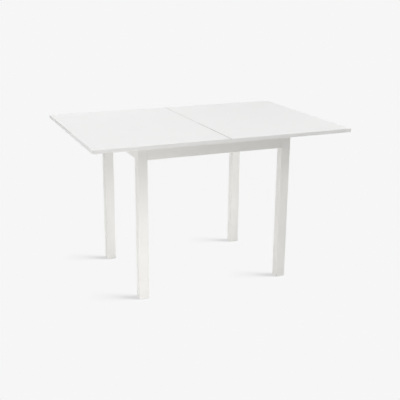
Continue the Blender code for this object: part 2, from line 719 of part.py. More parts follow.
def link_outline(side):
    """The link's outline at rest in x and z: an eye on its pin, an arm down, a bar across and an arm up."""
    half_bar = LINK_BAR / 2
    eye_angle = math.degrees(math.asin(half_bar / LINK_EYE_RADIUS))
    drop = LINK_PIVOT_INSET + LINK_BULGE
    span = 2 * LINK_PIVOT_DROP
    outer = LINK_CORNER + half_bar
    inner = LINK_CORNER - half_bar
    points = arc((0, 0), LINK_EYE_RADIUS, -90 + eye_angle, 270 - eye_angle, 14)
    points += arc((LINK_CORNER, LINK_CORNER - drop), outer, 180, 270, 6)
    points += arc((span - LINK_CORNER, LINK_CORNER - drop), outer, 270, 360, 6)
    points += arc((span, 0), half_bar, 0, 180, 8)
    points += arc((span - LINK_CORNER, LINK_CORNER - drop), inner, 360, 270, 4)
    points += arc((LINK_CORNER, LINK_CORNER - drop), inner, 270, 180, 4)
    pin_x = side * LINK_PIVOT_INSET
    pin_z = FOLD_AXIS_Z - LINK_PIVOT_DROP
    return [(pin_x - side * x, pin_z + z) for x, z in points]


def hinge_half(number, middle_y, side, leaf, leaf_name, leaf_origin):
    """A hinge body let into one leaf's seam edge, and the link that turns in it."""
    face = side * HALF_SEAM
    back = face + side * HINGE_BODY_DEPTH
    pin_x = side * LINK_PIVOT_INSET
    pin_z = FOLD_AXIS_Z - LINK_PIVOT_DROP
    lane = -side
    outline = stadium(middle_y, HINGE_MID_Z, HINGE_BODY_LENGTH, HINGE_BODY_HEIGHT)
    low, high = sorted((face, back))
    body = solid(
        f"hinge_body_{leaf_name}_{number}",
        prism(outline, low, high, "X"),
        ZINC_ALLOY,
        leaf_origin,
    )
    pocket = stadium(
        middle_y,
        HINGE_MID_Z,
        HINGE_BODY_LENGTH + 2 * SEAT_GAP,
        HINGE_BODY_HEIGHT + 2 * SEAT_GAP,
    )
    low, high = sorted((face - side * CUT_MARGIN, back + side * SEAT_GAP))
    cut(leaf, f"hinge_pocket_{leaf_name}_{number}", prism(pocket, low, high, "X"))
    slot_half = LANE_GAP * 1.5 + LINK_THICKNESS
    low, high = sorted((face - side * CUT_MARGIN, side * LINK_SLOT_DEPTH))
    slot = block(
        (low, middle_y - slot_half, FOLD_AXIS_Z - LINK_SLOT_BOTTOM),
        (high, middle_y + slot_half, FOLD_AXIS_Z - LINK_SLOT_TOP),
    )
    cut(body, f"link_slot_{leaf_name}_{number}", slot)
    pin_start = middle_y + lane * LANE_GAP
    pin_bore = rod(
        LINK_PIN_RADIUS + BORE_GAP,
        LANE_GAP + LINK_THICKNESS + LINK_PIN_LENGTH,
        (pin_x, pin_start, pin_z),
        (0, lane, 0),
        SMALL_ROUND_STEPS,
    )
    cut(body, f"pin_bore_{leaf_name}_{number}", pin_bore)

    lane_near = middle_y + lane * LANE_GAP / 2
    lane_far = lane_near + lane * LINK_THICKNESS
    low, high = sorted((lane_near, lane_far))
    link = solid(
        f"hinge_link_{leaf_name}_{number}",
        prism(link_outline(side), low, high, "Y"),
        ZINC_STEEL,
        (pin_x, middle_y, pin_z),
    )
    pin = rod(
        LINK_PIN_RADIUS,
        LINK_THICKNESS / 2 + LINK_PIN_LENGTH - BORE_GAP,
        (pin_x, lane_far - lane * LINK_THICKNESS / 2, pin_z),
        (0, lane, 0),
        SMALL_ROUND_STEPS,
    )
    join(link, f"link_pin_{leaf_name}_{number}", pin)


for number, middle_y in enumerate(HINGE_ROWS, start=1):
    hinge_half(number, middle_y, -1, fixed_leaf, "swivel", PIVOT_ORIGIN)
    hinge_half(number, middle_y, 1, folding_leaf, "folding", FOLD_ORIGIN)
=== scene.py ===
"""Looks of the swivel and fold-over dining table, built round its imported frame. Metres, +Z up.

The CAD pieces stay and get their finishes here. Added are the small fasteners that hold the fittings,
and threads in place of the plain bolts. The stage is a white floor with soft light.
"""

import json
import math

import bmesh
import bpy
from mathutils import Matrix, Vector


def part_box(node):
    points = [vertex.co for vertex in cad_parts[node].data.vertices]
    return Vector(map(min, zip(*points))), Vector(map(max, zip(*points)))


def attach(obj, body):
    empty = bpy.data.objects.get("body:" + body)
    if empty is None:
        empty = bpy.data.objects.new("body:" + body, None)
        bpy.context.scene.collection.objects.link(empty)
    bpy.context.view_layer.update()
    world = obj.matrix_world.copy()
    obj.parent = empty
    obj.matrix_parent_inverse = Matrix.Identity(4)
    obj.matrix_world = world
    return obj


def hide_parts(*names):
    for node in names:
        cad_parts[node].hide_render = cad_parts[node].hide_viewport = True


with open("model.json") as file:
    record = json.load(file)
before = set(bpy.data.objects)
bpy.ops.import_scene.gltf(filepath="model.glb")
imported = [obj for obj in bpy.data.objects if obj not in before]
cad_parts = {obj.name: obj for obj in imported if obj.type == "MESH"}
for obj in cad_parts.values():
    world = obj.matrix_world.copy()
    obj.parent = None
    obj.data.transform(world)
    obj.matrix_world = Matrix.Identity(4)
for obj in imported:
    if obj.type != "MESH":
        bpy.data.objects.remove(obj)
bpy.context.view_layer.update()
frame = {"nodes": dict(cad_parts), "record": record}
NODES = frame["nodes"]
SCENE = bpy.context.scene
CORNERS = ("front_left", "front_right", "rear_left", "rear_right")
SLOTS = {part["node"]: part["material_slot"] for part in frame["record"]["subparts"]}

# Edges steeper than this stay sharp in the shading, and points nearer than this are one
SHARP_ANGLE = math.radians(38.0)
WELD_DISTANCE = 0.00001

# Camera, as fitted to the photograph's view
IMAGE_SIDE = 400
FOCAL_PIXELS = 724.70
SENSOR_WIDTH = 36.0
CAMERA_PLACE = (-1.29819, -3.0977, 1.3926)
CAMERA_YAW = math.radians(23.2217)
CAMERA_PITCH = math.radians(17.3425)
CAMERA_ROLL = math.radians(0.5639)
CAMERA_FAR = 400.0

# Soft lamps: name, place, the point that it faces, side and power
LIGHTS = (
    ("soft_right", (2.7, -1.00, 1.55), (0.2, 0.0, 0.5), 1.6, 53.0),
    ("soft_front_left", (-1.73, -1.73, 2.51), (0.0, 0.0, 0.45), 2.0, 22.0),
    ("soft_back_left", (-1.73, 1.73, 2.51), (0.0, 0.0, 0.45), 2.0, 30.5),
    ("soft_back", (0.0, 2.45, 2.51), (0.0, 0.0, 0.45), 2.0, 27.0),
    ("soft_above", (0.0, -1.2, 3.42), (0.0, 0.0, 0.45), 2.0, 31.5),
    ("near_front_left", (-0.60, -1.50, 1.30), (-0.55, -0.40, 0.70), 0.5, 1.7),
    ("low_back", (0.4, 2.6, 0.6), (0.0, 0.2, 0.4), 1.6, 10.0),
    ("low_left", (-1.6, 0.2, 0.2), (-0.35, 0.2, 0.2), 0.8, 2.5),
    ("low_front_left", (-1.5, -0.7, 0.12), (-0.35, -0.26, 0.15), 0.5, 4.2),
    ("low_front", (-0.40, -1.0, 0.06), (-0.35, -0.28, 0.06), 0.4, 2.2),
    ("low_under", (-0.02, -0.10, 0.14), (-0.02, 0.26, 0.24), 0.4, 0.55),
)

# The world gives no light. It and the floor show one pale level, and the floor scatters light itself
WORLD_LIGHT = 0.0
BACKGROUND = 0.9216
FLOOR_COLOUR = 0.85
FLOOR_SIDE = 160.0

# Shadow on the floor: its length, how much it takes away, and the way that the light comes from
SHADOW_REACH = 0.235
SHADOW_DEPTH = 0.26
SHADOW_FROM = (0.92, -0.39, 0.0)
# Half-skies that face that way and to either side share the narrow wedge in which a leg shades the floor
SHADOW_TURNS = (0.0, math.radians(75.0), math.radians(-75.0))
SHADOW_TILT = 0.08
SHADOW_SAMPLES = 48
SHADOW_DARK = 0.955
SHADOW_CLEAR = 0.995


def make_camera():
    """The photograph's camera, with its roll."""
    forward = Vector((
        math.sin(CAMERA_YAW) * math.cos(CAMERA_PITCH),
        math.cos(CAMERA_YAW) * math.cos(CAMERA_PITCH),
        -math.sin(CAMERA_PITCH),
    ))
    level = Vector((math.cos(CAMERA_YAW), -math.sin(CAMERA_YAW), 0.0))
    upright = level.cross(forward)
    right = level * math.cos(CAMERA_ROLL) + upright * math.sin(CAMERA_ROLL)
    up = upright * math.cos(CAMERA_ROLL) - level * math.sin(CAMERA_ROLL)
    data = bpy.data.cameras.new("camera")
    data.sensor_width = SENSOR_WIDTH
    data.lens = FOCAL_PIXELS * SENSOR_WIDTH / IMAGE_SIDE
    data.clip_end = CAMERA_FAR
    camera = bpy.data.objects.new("camera", data)
    turn = Matrix((right, up, -forward)).transposed().to_4x4()
    camera.matrix_world = Matrix.Translation(CAMERA_PLACE) @ turn
    SCENE.collection.objects.link(camera)
    SCENE.camera = camera


make_camera()


class Finish:
    """A Principled material built up node by node. Coordinates are the piece's own, in metres."""

    def __init__(self, name, metallic=0.0, specular=0.5):
        self.material = bpy.data.materials.new(name)
        self.material.use_nodes = True
        self.tree = self.material.node_tree
        self.shader = self.tree.nodes["Principled BSDF"]
        self.shader.inputs["Metallic"].default_value = metallic
        self.shader.inputs["Specular IOR Level"].default_value = specular
        self.coordinates = self.tree.nodes.new("ShaderNodeTexCoord")

    def node(self, kind, **settings):
        made = self.tree.nodes.new(kind)
        for key, value in settings.items():
            setattr(made, key, value)
        return made

    def feed(self, socket, value):
        """Sets a socket to a number or a colour, or links it to another node's output."""
        if isinstance(value, bpy.types.NodeSocket):
            self.tree.links.new(value, socket)
        else:
            socket.default_value = value

    def set(self, name, value):
        self.feed(self.shader.inputs[name], value)

    def place(self, stretch=(1.0, 1.0, 1.0), shift=(0.0, 0.0, 0.0)):
        """The piece's own coordinates, stretched along each axis."""
        mapping = self.node("ShaderNodeMapping")
        self.feed(mapping.inputs["Vector"], self.coordinates.outputs["Object"])
        mapping.inputs["Scale"].default_value = stretch
        mapping.inputs["Location"].default_value = shift
        return mapping.outputs["Vector"]

    def noise(self, scale, detail=2.0, roughness=0.5, stretch=(1.0, 1.0, 1.0), distortion=0.0):
        made = self.node("ShaderNodeTexNoise")
        self.feed(made.inputs["Vector"], self.place(stretch))
        made.inputs["Scale"].default_value = scale
        made.inputs["Detail"].default_value = detail
        made.inputs["Roughness"].default_value = roughness
        made.inputs["Distortion"].default_value = distortion
        return made.outputs["Fac"]

    def sums(self, operation, first, second=0.0):
        """One step of arithmetic, such as ADD or MULTIPLY."""
        made = self.node("ShaderNodeMath", operation=operation)
        self.feed(made.inputs[0], first)
        self.feed(made.inputs[1], second)
        return made.outputs[0]

    def spread(self, value, low, high, start=0.0, end=1.0, smooth=False):
        """Maps start..end of a value onto low..high."""
        kind = "SMOOTHSTEP" if smooth else "LINEAR"
        made = self.node("ShaderNodeMapRange", interpolation_type=kind)
        self.feed(made.inputs["Value"], value)
        made.inputs["From Min"].default_value = start
        made.inputs["From Max"].default_value = end
        made.inputs["To Min"].default_value = low
        made.inputs["To Max"].default_value = high
        return made.outputs["Result"]

    def mix(self, first, second, factor):
        """Between two colours."""
        made = self.node("ShaderNodeMix", data_type="RGBA")
        self.feed(made.inputs["Factor"], factor)
        for socket, value in ((made.inputs[6], first), (made.inputs[7], second)):
            self.feed(socket, (*value, 1.0) if isinstance(value, tuple) else value)
        return made.outputs[2]

    def axes(self, vector):
        made = self.node("ShaderNodeSeparateXYZ")
        self.feed(made.inputs[0], vector)
        return made.outputs

    def bump(self, height, strength, distance):
        made = self.node("ShaderNodeBump")
        self.feed(made.inputs["Height"], height)
        made.inputs["Strength"].default_value = strength
        made.inputs["Distance"].default_value = distance
        self.set("Normal", made.outputs["Normal"])


# Board: the colours of its faces, its edging and the hairline joint between them, and the joint's width
BOARD_COLOURS = ((0.872, 0.872, 0.866), (0.848, 0.848, 0.842))
EDGING_COLOURS = ((0.858, 0.853, 0.838), (0.838, 0.832, 0.816))
EDGING_THICKNESS = 0.0010
JOINT_COLOUR = (0.62, 0.62, 0.61)
JOINT_SHARE = 0.5
JOINT_WIDTHS = (0.00004, 0.00014)
# Seam: the tone of its painted shade line, the line's width and depth below the top, and how far along and
# to what it fades
SEAM_SHADE_TONE = (0.27, 0.266, 0.255)
SEAM_WIDTHS = (0.0006, 0.0022)
SEAM_DEPTHS = (0.0022, 0.0012)
SEAM_FADE = (-0.14, 0.02)
SEAM_REAR_SHARE = 0.42


def board_finish(name, low, high, seam=None):
    """Satin white melamine board, whose narrow faces carry a plastic edging with a hairline joint.

    At a seam the upper edge is painted grey as shade in the gap between the boards, and more so at the
    front.
    """
    finish = Finish(name)
    pearl = finish.noise(1300.0, 2.0, 0.6)
    cloud = finish.noise(7.0, 3.0, 0.5)
    drift = finish.sums("ADD", finish.sums("MULTIPLY", pearl, 0.35), finish.sums("MULTIPLY", cloud, 0.65))
    face = finish.mix(*BOARD_COLOURS, drift)
    edge_marks = finish.noise(420.0, 2.0, 0.5, (1.0, 1.0, 0.12))
    edging = finish.mix(*EDGING_COLOURS, edge_marks)
    upright = finish.sums("ABSOLUTE", finish.axes(finish.coordinates.outputs["Normal"])[2])
    on_face = finish.spread(upright, 0.0, 1.0, 0.55, 0.8, True)
    place = finish.axes(finish.place())
    middle = [(low[i] + high[i]) / 2 for i in range(2)]
    half = [(high[i] - low[i]) / 2 for i in range(2)]
    inset = []
    for i in range(2):
        off = finish.sums("ABSOLUTE", finish.sums("SUBTRACT", place[i], middle[i]))
        inset.append(finish.sums("SUBTRACT", half[i], off))
    depth = finish.sums("MINIMUM", inset[0], inset[1])
    from_joint = finish.sums("ABSOLUTE", finish.sums("SUBTRACT", depth, EDGING_THICKNESS))
    joint = finish.spread(from_joint, 1.0, 0.0, *JOINT_WIDTHS, True)
    joint = finish.sums("MULTIPLY", joint, on_face)
    colour = finish.mix(edging, face, on_face)
    colour = finish.mix(colour, JOINT_COLOUR, finish.sums("MULTIPLY", joint, JOINT_SHARE))
    # Painted shade: the seam's upper edge is darkened to stand for the shade in the gap between the leaves,
    # more towards the front
    if seam is not None:
        off = finish.sums("ABSOLUTE", finish.sums("SUBTRACT", place[0], seam))
        near = finish.spread(off, 1.0, 0.0, *SEAM_WIDTHS, True)
        upper = finish.spread(place[2], 0.0, 1.0, *(high[2] - below for below in SEAM_DEPTHS), True)
        patchy = finish.spread(finish.noise(28.0, 3.0, 0.6), 0.7, 1.0, 0.3, 0.6)
        toward_front = finish.spread(place[1], 1.0, SEAM_REAR_SHARE, *SEAM_FADE, True)
        seam_shade = finish.sums("MULTIPLY", finish.sums("MULTIPLY", near, upper), patchy)
        seam_shade = finish.sums("MULTIPLY", seam_shade, toward_front)
        colour = finish.mix(colour, SEAM_SHADE_TONE, seam_shade)
    finish.set("Base Color", colour)
    gloss = finish.spread(pearl, 0.36, 0.46, 0.25, 0.75)
    finish.set("Roughness", finish.sums("ADD", gloss, finish.spread(on_face, 0.05, 0.0)))
    height = finish.sums("SUBTRACT", finish.sums("MULTIPLY", pearl, 0.4), joint)
    finish.bump(height, 0.10, 0.0002)
    return finish.material


def lacquer_finish(name, along):
    """White sprayed lacquer over wood: a faint peel, and a trace of the grain along one axis."""
    finish = Finish(name)
    stretch = tuple(0.06 if axis == along else 1.0 for axis in "xyz")
    grain = finish.noise(95.0, 4.0, 0.55, stretch, 0.4)
    peel = finish.noise(330.0, 1.0, 0.4)
    cloud = finish.noise(11.0, 2.0, 0.5)
    drift = finish.sums("ADD", finish.sums("MULTIPLY", grain, 0.5), finish.sums("MULTIPLY", cloud, 0.5))
    finish.set("Base Color", finish.mix((0.866, 0.853, 0.824), (0.842, 0.828, 0.798), drift))
    finish.set("Roughness", finish.spread(cloud, 0.30, 0.40, 0.3, 0.7))
    height = finish.sums("ADD", finish.sums("MULTIPLY", grain, 0.35), peel)
    finish.bump(height, 0.12, 0.0003)
    return finish.material


def softwood_finish(name):
    """Planed softwood with growth rings along x and darker pores."""
    finish = Finish(name, specular=0.35)
    rings = finish.node("ShaderNodeTexWave", wave_type="RINGS", rings_direction="X", wave_profile="SAW")
    finish.feed(rings.inputs["Vector"], finish.place((0.35, 1.0, 1.0), (0.0, 0.012, -0.66)))
    rings.inputs["Scale"].default_value = 55.0
    rings.inputs["Distortion"].default_value = 2.2
    rings.inputs["Detail"].default_value = 2.0
    rings.inputs["Detail Scale"].default_value = 1.4
    fibre = finish.noise(900.0, 3.0, 0.6, (0.04, 1.0, 1.0))
    pale = finish.mix((0.74, 0.57, 0.37), (0.60, 0.42, 0.24), rings.outputs["Fac"])
    finish.set("Base Color", finish.mix(pale, (0.50, 0.34, 0.19), finish.spread(fibre, 0.0, 0.35, 0.5, 0.8)))
    finish.set("Roughness", finish.spread(fibre, 0.55, 0.72))
    finish.bump(finish.sums("ADD", fibre, finish.sums("MULTIPLY", rings.outputs["Fac"], 0.4)), 0.25, 0.0003)
    return finish.material


def metal_finish(name, bright, dull, low, high, scale, strength):
    """Plated or cast metal: patches of tone, and a fine tooth that spreads the gloss."""
    finish = Finish(name, metallic=1.0)
    patches = finish.noise(scale, 4.0, 0.6)
    tooth = finish.noise(scale * 14.0, 2.0, 0.5)
    finish.set("Base Color", finish.mix(bright, dull, patches))
    finish.set("Roughness", finish.spread(patches, low, high, 0.25, 0.75))
    finish.bump(tooth, strength, 0.0002)
    return finish.material


def plastic_finish(name, light, dark, low, high):
    """Moulded plastic with a fine spark-eroded grain."""
    finish = Finish(name)
    grain = finish.noise(2400.0, 2.0, 0.5)
    cloud = finish.noise(60.0, 2.0, 0.5)
    finish.set("Base Color", finish.mix(light, dark, cloud))
    finish.set("Roughness", finish.spread(grain, low, high, 0.3, 0.7))
    finish.bump(grain, 0.15, 0.0002)
    return finish.material


def felt_finish(name):
    """Pressed felt: pale and dark fibres lying in every direction, with a soft nap."""
    finish = Finish(name, specular=0.2)
    first = finish.noise(1500.0, 3.0, 0.6, (0.25, 1.0, 1.0), 1.5)
    second = finish.noise(1500.0, 3.0, 0.6, (1.0, 0.25, 1.0), 1.5)
    fibre = finish.sums("MULTIPLY", finish.sums("ADD", first, second), 0.5)
    tone = finish.spread(fibre, 0.0, 1.0, 0.35, 0.65)
    finish.set("Base Color", finish.mix((0.36, 0.36, 0.35), (0.54, 0.54, 0.52), tone))
    finish.set("Roughness", finish.spread(fibre, 0.88, 0.98))
    finish.set("Sheen Weight", 0.3)
    finish.bump(fibre, 0.5, 0.0005)
    return finish.material


# Metals: slot, name, bright and dull colour, least and most roughness, scale of patches, strength of tooth
METALS = (
    ("zinc_steel", "zinc_plate", (0.70, 0.71, 0.73), (0.60, 0.61, 0.63), 0.26, 0.40, 160.0, 0.06),
    ("spring_steel", "oiled_steel", (0.26, 0.26, 0.27), (0.19, 0.19, 0.20), 0.34, 0.50, 130.0, 0.08),
    ("zinc_alloy", "satin_casting", (0.60, 0.60, 0.59), (0.52, 0.52, 0.51), 0.34, 0.46, 220.0, 0.12),
)
MATERIALS = {
    "leg": lacquer_finish("lacquer_upright", "z"),
    "rail_long": lacquer_finish("lacquer_along", "x"),
    "rail_short": lacquer_finish("lacquer_across", "y"),
    "cleat": softwood_finish("planed_softwood"),
    "nylon": plastic_finish("white_nylon", (0.84, 0.84, 0.81), (0.79, 0.79, 0.76), 0.38, 0.52),
    "grey_plastic": plastic_finish("grey_plastic", (0.23, 0.23, 0.23), (0.18, 0.18, 0.18), 0.42, 0.56),
    "felt": felt_finish("pressed_felt"),
}
for slot, *look in METALS:
    MATERIALS[slot] = metal_finish(*look)
SEAMS = {"leaf_swivel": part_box("leaf_swivel")[1].x, "leaf_folding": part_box("leaf_folding")[0].x}
for name in ("leaf_swivel", "leaf_folding", "pivot_board"):
    MATERIALS[name] = board_finish("melamine_" + name, *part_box(name), SEAMS.get(name))


def finish_of(node):
    """The finish that a CAD node takes."""
    if node in MATERIALS:
        return MATERIALS[node]
    if node.startswith("leg_"):
        return MATERIALS["leg"]
    if node in ("rail_front", "rail_rear"):
        return MATERIALS["rail_long"]
    if node in ("rail_left", "rail_right"):
        return MATERIALS["rail_short"]
    if node.startswith("cleat_"):
        return MATERIALS["cleat"]
    return MATERIALS[SLOTS[node]]


def soften_group():
    """Joins a CAD mesh's loose triangles for shading, smooth over its roundings and sharp at its edges."""
    group = bpy.data.node_groups.new("soften", "GeometryNodeTree")
    group.interface.new_socket("Geometry", in_out="INPUT", socket_type="NodeSocketGeometry")
    group.interface.new_socket("Geometry", in_out="OUTPUT", socket_type="NodeSocketGeometry")
    start = group.nodes.new("NodeGroupInput")
    end = group.nodes.new("NodeGroupOutput")
    weld = group.nodes.new("GeometryNodeMergeByDistance")
    weld.inputs["Distance"].default_value = WELD_DISTANCE
    angle = group.nodes.new("GeometryNodeInputMeshEdgeAngle")
    steep = group.nodes.new("FunctionNodeCompare")
    steep.operation = "GREATER_THAN"
    steep.inputs[1].default_value = SHARP_ANGLE
    normals = group.nodes.new("GeometryNodeSetMeshNormal")
    normals.mode = "SHARPNESS"
    normals.inputs["Remove Custom"].default_value = True
    group.links.new(start.outputs[0], weld.inputs["Geometry"])
    group.links.new(weld.outputs["Geometry"], normals.inputs["Mesh"])
    group.links.new(angle.outputs["Unsigned Angle"], steep.inputs[0])
    group.links.new(steep.outputs[0], normals.inputs["Edge Sharpness"])
    group.links.new(normals.outputs["Mesh"], end.inputs[0])
    return group


SOFTEN = soften_group()
for node, piece in NODES.items():
    piece.material_slots[0].material = finish_of(node)
    soften = piece.modifiers.new("soften", "NODES")
    soften.node_group = SOFTEN
    weighted = piece.modifiers.new("weighted_normals", "WEIGHTED_NORMAL")
    weighted.mode = "FACE_AREA"
    weighted.keep_sharp = True


def make_piece(name, data, material, body):
    """A named piece that rides on a body."""
    bmesh.ops.recalc_face_normals(data, faces=data.faces)
    mesh = bpy.data.meshes.new(name)
    data.to_mesh(mesh)
    data.free()
    mesh.materials.append(material)
    mesh.shade_smooth()
    mesh.set_sharp_from_angle(angle=SHARP_ANGLE)
    piece = bpy.data.objects.new(name, mesh)
    SCENE.collection.objects.link(piece)
    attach(piece, body)
    return piece


def aim(base, direction, spin=0.0):
    """The matrix that stands a shape made along +Z at base, along a direction."""
    turn = Vector((0, 0, 1)).rotation_difference(Vector(direction).normalized()).to_matrix().to_4x4()
    return Matrix.Translation(base) @ turn @ Matrix.Rotation(spin, 4, "Z")


def add_ring(data, radius, height, steps):
    """A ring of points round the z axis."""
    made = []
    for index in range(steps):
        angle = 2 * math.pi * index / steps
        made.append(data.verts.new((radius * math.cos(angle), radius * math.sin(angle), height)))
    return made


def add_band(data, lower, upper):
    """Faces between two rings of as many points."""
    count = len(lower)
    for index in range(count):
        after = (index + 1) % count
        data.faces.new((lower[index], lower[after], upper[after], upper[index]))


# Screw head, in shares of its radius and height: profile, and the recess's arm, half width, taper and floor
HEAD_STEPS = 24
HEAD_PROFILE = ((1.0, 0.0), (1.0, 0.34), (0.95, 0.62), (0.83, 0.86), (0.66, 1.0), (0.56, 1.0))
RECESS_ARM = 0.50
RECESS_HALF = 0.13
RECESS_TAPER = 0.72
RECESS_FLOOR = 0.42


def cross_screw(data, radius, height):
    """A pan-head screw's head with a cross recess, standing on z = 0."""
    rings = [add_ring(data, radius * share, height * rise, HEAD_STEPS) for share, rise in HEAD_PROFILE]
    data.faces.new(rings[0])
    for lower, upper in zip(rings[:-1], rings[1:]):
        add_band(data, lower, upper)
    arm = radius * RECESS_ARM
    half = radius * RECESS_HALF
    plan = (
        (arm, -half), (arm, half), (half, half), (half, arm), (-half, arm), (-half, half),
        (-arm, half), (-arm, -half), (-half, -half), (-half, -arm), (half, -arm), (half, -half),
    )
    lip = [data.verts.new((x, y, height)) for x, y in plan]
    floor = [data.verts.new((x * RECESS_TAPER, y * RECESS_TAPER, height * RECESS_FLOOR)) for x, y in plan]
    add_band(data, lip, floor)
    data.faces.new(floor)
    borders = []
    for loop in (rings[-1], lip):
        for pair in zip(loop, loop[1:] + loop[:1]):
            borders.append(data.edges.get(pair))
    bmesh.ops.triangle_fill(data, edges=borders, use_beauty=True)


def add_screw(name, base, direction, radius, height, body, spin):
    """A zinc-plated screw head on a face, with its cross turned by spin."""
    data = bmesh.new()
    cross_screw(data, radius, height)
    data.transform(aim(base, direction, spin))
    make_piece(name, data, MATERIALS["zinc_steel"], body)


def corner_signs(corner):
    """The signs of x and y on the way out to a corner of the frame."""
    return (1 if corner.endswith("right") else -1, 1 if corner.startswith("rear") else -1)


def outer_point(low, high, signs):
    """The point of a box that lies furthest out at a corner, at the box's middle height."""
    x = high.x if signs[0] > 0 else low.x
    y = high.y if signs[1] > 0 else low.y
    return Vector((x, y, (low.z + high.z) / 2))


# Pan-head screws in the flanges of the corner plates, whose hooked ends go into the rails
PLATE_SCREW_RADIUS = 0.0042
PLATE_SCREW_HEIGHT = 0.0026
PLATE_SCREW_RISES = (-0.015, 0.015)
PLATE_SCREW_INSET = 0.0118
PLATE_HOOK = 0.0073
PLATE_THICKNESS = 0.002
for corner in CORNERS:
    low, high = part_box("corner_plate_" + corner)
    sign_x, sign_y = corner_signs(corner)
    outer = outer_point(low, high, (sign_x, sign_y))
    seat = PLATE_HOOK + PLATE_THICKNESS
    along = high.x - low.x - PLATE_SCREW_INSET
    number = 0
    for rise in PLATE_SCREW_RISES:
        for offset, inward in (((along, seat), (0, -sign_y, 0)), ((seat, along), (-sign_x, 0, 0))):
            number += 1
            spot = outer + Vector((-sign_x * offset[0], -sign_y * offset[1], rise))
            spin = 0.35 + 0.8 * number + 0.5 * sign_x + 0.3 * sign_y
            add_screw(
                f"corner_screw_{corner}_{number}",
                spot,
                inward,
                PLATE_SCREW_RADIUS,
                PLATE_SCREW_HEIGHT,
                "frame",
                spin,
            )

# Screws through the cleats, into the rails and up into the pivot board
CLEAT_SCREW_RADIUS = 0.0040
CLEAT_SCREW_HEIGHT = 0.0016
CLEAT_RAIL_SHARES = (-0.30, 0.30)
CLEAT_BOARD_SHARE = 0.55
for side in ("front", "rear"):
    low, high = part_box("cleat_" + side)
    middle = (low + high) / 2
    inner_y = high.y if side == "front" else low.y
    inward = (0, 1, 0) if side == "front" else (0, -1, 0)
    for number, share in enumerate(CLEAT_RAIL_SHARES, start=1):
        x = middle.x + share * (high.x - low.x)
        add_screw(
            f"cleat_rail_screw_{side}_{number}",
            Vector((x, inner_y, middle.z)),
            inward,
            CLEAT_SCREW_RADIUS,
            CLEAT_SCREW_HEIGHT,
            "frame",
            0.4 * number + (0.9 if side == "rear" else 0.0),
        )
        x = middle.x + share * CLEAT_BOARD_SHARE * (high.x - low.x)
        add_screw(
            f"cleat_board_screw_{side}_{number}",
            Vector((x, middle.y, low.z)),
            (0, 0, -1),
            CLEAT_SCREW_RADIUS,
            CLEAT_SCREW_HEIGHT,
            "frame",
            0.7 * number + (0.2 if side == "rear" else 0.0),
        )

# Two low screw heads in the face of each hinge body, which clear each other across the seam
HINGE_SCREW_RADIUS = 0.0022
HINGE_SCREW_HEIGHT = 0.00032
HINGE_SCREW_OFFSET = 0.0122
for leaf, side in (("swivel", 1), ("folding", -1)):
    for row in (1, 2, 3):
        low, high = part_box(f"hinge_body_{leaf}_{row}")
        middle = (low + high) / 2
        for number, way in enumerate((-1, 1), start=1):
            spot = Vector((high.x if side > 0 else low.x, middle.y + way * HINGE_SCREW_OFFSET, middle.z))
            add_screw(
                f"hinge_screw_{leaf}_{row}_{number}",
                spot,
                (side, 0, 0),
                HINGE_SCREW_RADIUS,
                HINGE_SCREW_HEIGHT,
                leaf + "_leaf",
                0.6 * row + 1.1 * number,
            )


# Bolts with a real thread where they show, in place of the plain ones
THREAD_STEPS = 20
THREAD_ROWS = 6
THREAD_DEPTH = 0.55
THREAD_LEAD = 0.001


def threaded_bolt(data, plain, radius, start, end, pitch, tip):
    """A bolt along +Z: rows of (height, radius) for the plain part, then a helical thread and a chamfer."""
    rows = [(height, [reach] * THREAD_STEPS) for height, reach in plain]
    depth = THREAD_DEPTH * pitch
    count = int((end - start) / pitch * THREAD_ROWS)
    for index in range(count + 1):
        height = start + (end - start) * index / count
        fade = min(1.0, (height - start) / pitch)
        reaches = []
        for step in range(THREAD_STEPS):
            phase = (height / pitch - step / THREAD_STEPS) % 1.0
            reaches.append(radius - depth * fade * abs(2.0 * phase - 1.0))
        rows.append((height, reaches))
    rows.append((end + tip, [radius - depth - tip * 0.5] * THREAD_STEPS))
    loops = []
    for height, reaches in rows:
        loop = []
        for step, reach in enumerate(reaches):
            angle = 2 * math.pi * step / THREAD_STEPS
            loop.append(data.verts.new((reach * math.cos(angle), reach * math.sin(angle), height)))
        loops.append(loop)
    for lower, upper in zip(loops[:-1], loops[1:]):
        add_band(data, lower, upper)
    data.faces.new(loops[0])
    data.faces.new(loops[-1])


HANGER_RADIUS = 0.004
HANGER_LENGTH = 0.058
HANGER_THREAD = 0.028
HANGER_PITCH = 0.00125
HANGER_TIP = 0.0008
HANGER_POINT = HANGER_RADIUS * 0.5
for corner in CORNERS:
    low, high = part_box("hanger_bolt_" + corner)
    sign_x, sign_y = corner_signs(corner)
    inward = Vector((-sign_x, -sign_y, 0.0)).normalized()
    base = outer_point(low, high, (sign_x, sign_y)) + inward * HANGER_POINT
    data = bmesh.new()
    thread = HANGER_LENGTH - HANGER_THREAD
    plain = ((0.0, HANGER_POINT), (HANGER_RADIUS, HANGER_RADIUS), (thread - THREAD_LEAD, HANGER_RADIUS))
    end = HANGER_LENGTH - HANGER_TIP
    threaded_bolt(data, plain, HANGER_RADIUS, thread, end, HANGER_PITCH, HANGER_TIP)
    data.transform(aim(base, inward))
    bolt = make_piece("threaded_hanger_" + corner, data, MATERIALS["zinc_steel"], "frame")
    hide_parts("hanger_bolt_" + corner)

